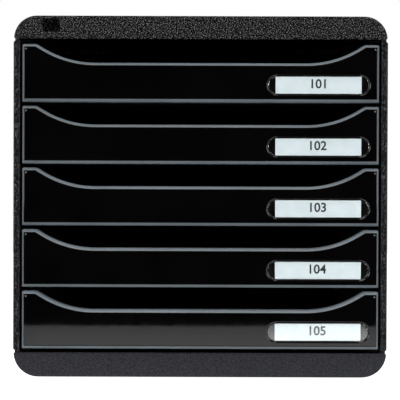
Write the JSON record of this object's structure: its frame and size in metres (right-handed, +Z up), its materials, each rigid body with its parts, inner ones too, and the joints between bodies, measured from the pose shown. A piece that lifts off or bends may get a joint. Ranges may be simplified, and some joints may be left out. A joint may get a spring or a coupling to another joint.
{
  "type": "desktop drawer unit",
  "caption": "Desk-top filing unit for A4 papers: a moulded case with rounded long edges and scooped sliding drawers that carry label windows.",
  "frame": {"origin": "on the desk, under the middle of the unit's width and depth", "axes": "+Z up, the drawers open towards -Y, +X to the right of someone facing the drawers"},
  "size_m": [0.279, 0.347, 0.2715],
  "materials": {
    "case": "fine grain",
    "drawer": "high gloss with a satin rim",
    "label_window": "clear",
    "label_card": "plain",
    "foot": "matte"
  },
  "bodies": {
    "case": {"top_cover": "case", "base_shell": "case", "side_panel_left": "case", "side_panel_right": "case", "back_panel": "case", "foot_pad_front_left": "foot", "foot_pad_front_right": "foot", "foot_pad_rear_left": "foot", "foot_pad_rear_right": "foot"},
    "drawer_1": {"drawer_1_tray": "drawer", "drawer_1_label_holder": "label_window", "drawer_1_label_card": "label_card"},
    "drawer_2": {"drawer_2_tray": "drawer", "drawer_2_label_holder": "label_window", "drawer_2_label_card": "label_card"},
    "drawer_3": {"drawer_3_tray": "drawer", "drawer_3_label_holder": "label_window", "drawer_3_label_card": "label_card"},
    "drawer_4": {"drawer_4_tray": "drawer", "drawer_4_label_holder": "label_window", "drawer_4_label_card": "label_card"},
    "drawer_5": {"drawer_5_tray": "drawer", "drawer_5_label_holder": "label_window", "drawer_5_label_card": "label_card"}
  },
  "joints": [
    {"name": "drawer_1_slide", "type": "slide", "parent": "case", "child": "drawer_1", "axis": [0, -1, 0], "range_m": [0, 0.25]},
    {"name": "drawer_2_slide", "type": "slide", "parent": "case", "child": "drawer_2", "axis": [0, -1, 0], "range_m": [0, 0.25]},
    {"name": "drawer_3_slide", "type": "slide", "parent": "case", "child": "drawer_3", "axis": [0, -1, 0], "range_m": [0, 0.25]},
    {"name": "drawer_4_slide", "type": "slide", "parent": "case", "child": "drawer_4", "axis": [0, -1, 0], "range_m": [0, 0.25]},
    {"name": "drawer_5_slide", "type": "slide", "parent": "case", "child": "drawer_5", "axis": [0, -1, 0], "range_m": [0, 0.25]}
  ]
}
